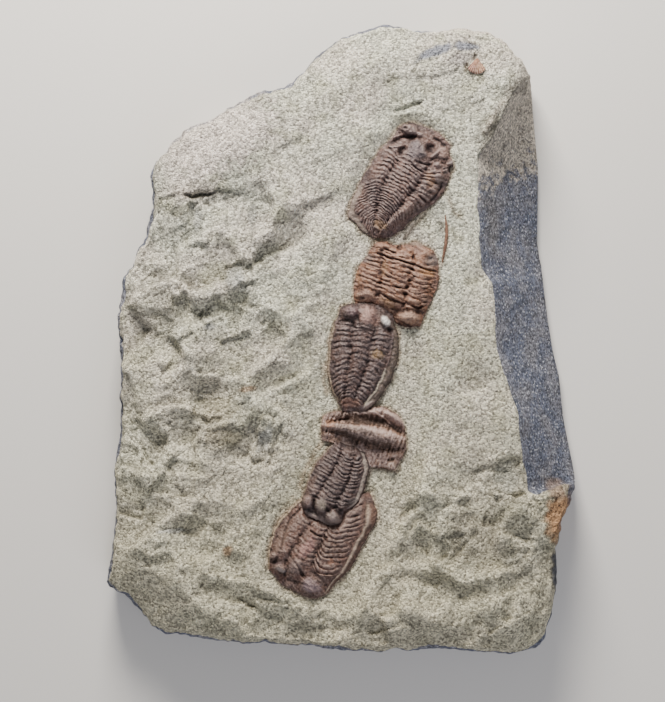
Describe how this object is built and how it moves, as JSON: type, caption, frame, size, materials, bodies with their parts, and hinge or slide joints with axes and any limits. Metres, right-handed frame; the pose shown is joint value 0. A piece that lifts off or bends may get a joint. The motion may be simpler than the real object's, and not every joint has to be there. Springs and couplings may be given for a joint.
{
  "type": "fossil trilobite cluster",
  "caption": "Slab of greenish-grey siltstone with a row of brown fossil trilobites in a smooth channel, a rough broken face and a dark flat joint face along one side.",
  "frame": {"origin": "middle of the slab's bounding box, on the plane of its flat back", "axes": "+Z out of the face with the fossils, +Y up the face towards the first trilobite, +X to the right across the face"},
  "size_m": [0.1876, 0.248, 0.0386],
  "materials": {
    "siltstone": "broken greenish grey siltstone",
    "brown_shell": "iron-stained fossil shell",
    "red_shell": "red-brown fossil shell",
    "pale_shell": "pale brown fossil shell"
  },
  "bodies": {
    "root": {"matrix_slab": "siltstone", "trilobite_top": "brown_shell", "trilobite_second": "red_shell", "trilobite_third": "brown_shell", "trilobite_fourth": "red_shell", "trilobite_fifth": "brown_shell", "trilobite_bottom": "brown_shell", "cheek_spine": "pale_shell", "shell_fragment": "pale_shell"}
  },
  "joints": []
}
